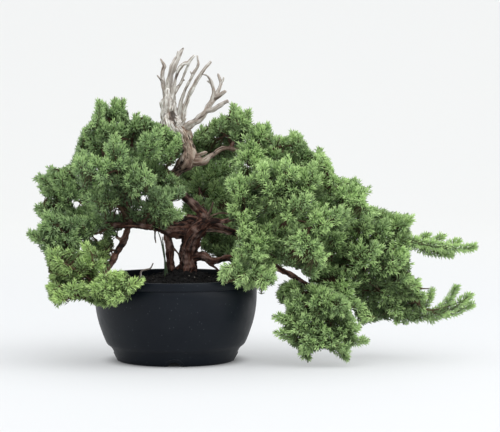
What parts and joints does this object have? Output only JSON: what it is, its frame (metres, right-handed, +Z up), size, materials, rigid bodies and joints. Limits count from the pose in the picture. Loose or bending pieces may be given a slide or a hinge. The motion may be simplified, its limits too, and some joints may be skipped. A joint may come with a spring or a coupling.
{
  "type": "potted juniper bonsai",
  "caption": "Windswept juniper bonsai with a bare dead crown and needle foliage on long limbs, growing in soil in a round plastic pot.",
  "frame": {"origin": "middle of the pot's foot, on the surface that it stands on", "axes": "+X towards the side where the long limbs reach out, +Y away from the front, +Z up"},
  "size_m": [0.5485, 0.2469, 0.3851],
  "materials": {
    "pot": "satin black",
    "soil": "crumbly dark potting mix",
    "bark": "flaky red-brown bark",
    "bare_wood": "silvered bare wood",
    "grass": "fresh grass blade",
    "needles": "green juniper needles",
    "bright_needles": "yellow-green juniper needles"
  },
  "bodies": {
    "root": {"dead_crown": "bare_wood", "foliage_cascade_01": "needles", "foliage_cascade_02": "needles", "foliage_cascade_03": "needles", "foliage_cascade_04": "needles", "foliage_far_right_01": "needles", "foliage_far_right_02": "needles", "foliage_far_right_03": "needles", "foliage_far_right_04": "needles", "foliage_far_right_05": "needles", "foliage_left_01": "needles", "foliage_left_02": "needles", "foliage_left_03": "needles", "foliage_left_04": "needles", "foliage_left_05": "needles", "foliage_left_06": "needles", "foliage_left_07": "needles", "foliage_left_08": "needles", "foliage_left_09": "needles", "foliage_left_10": "needles", "foliage_left_11": "needles", "foliage_left_12": "needles", "foliage_left_13": "needles", "foliage_left_14": "needles", "foliage_left_15": "needles", "foliage_left_16": "needles", "foliage_left_17": "needles", "foliage_low_left_01": "bright_needles", "foliage_low_left_02": "bright_needles", "foliage_low_left_03": "bright_needles", "foliage_low_left_04": "bright_needles", "foliage_right_01": "needles", "foliage_right_02": "needles", "foliage_right_03": "needles", "foliage_right_04": "needles", "foliage_right_05": "needles", "foliage_right_06": "needles", "foliage_right_07": "needles", "foliage_right_08": "needles", "foliage_right_09": "needles", "foliage_right_10": "needles", "foliage_right_11": "needles", "foliage_right_12": "needles", "foliage_right_13": "needles", "foliage_right_14": "needles", "foliage_right_15": "needles", "foliage_right_16": "needles", "foliage_right_17": "needles", "foliage_right_18": "needles", "foliage_right_19": "needles", "foliage_right_20": "needles", "foliage_right_21": "needles", "foliage_right_22": "needles", "grass_blade_left": "grass", "grass_blade_right": "grass", "pot": "pot", "soil": "soil", "soil_twig": "bare_wood", "trunk_and_limbs": "bark"}
  },
  "joints": []
}
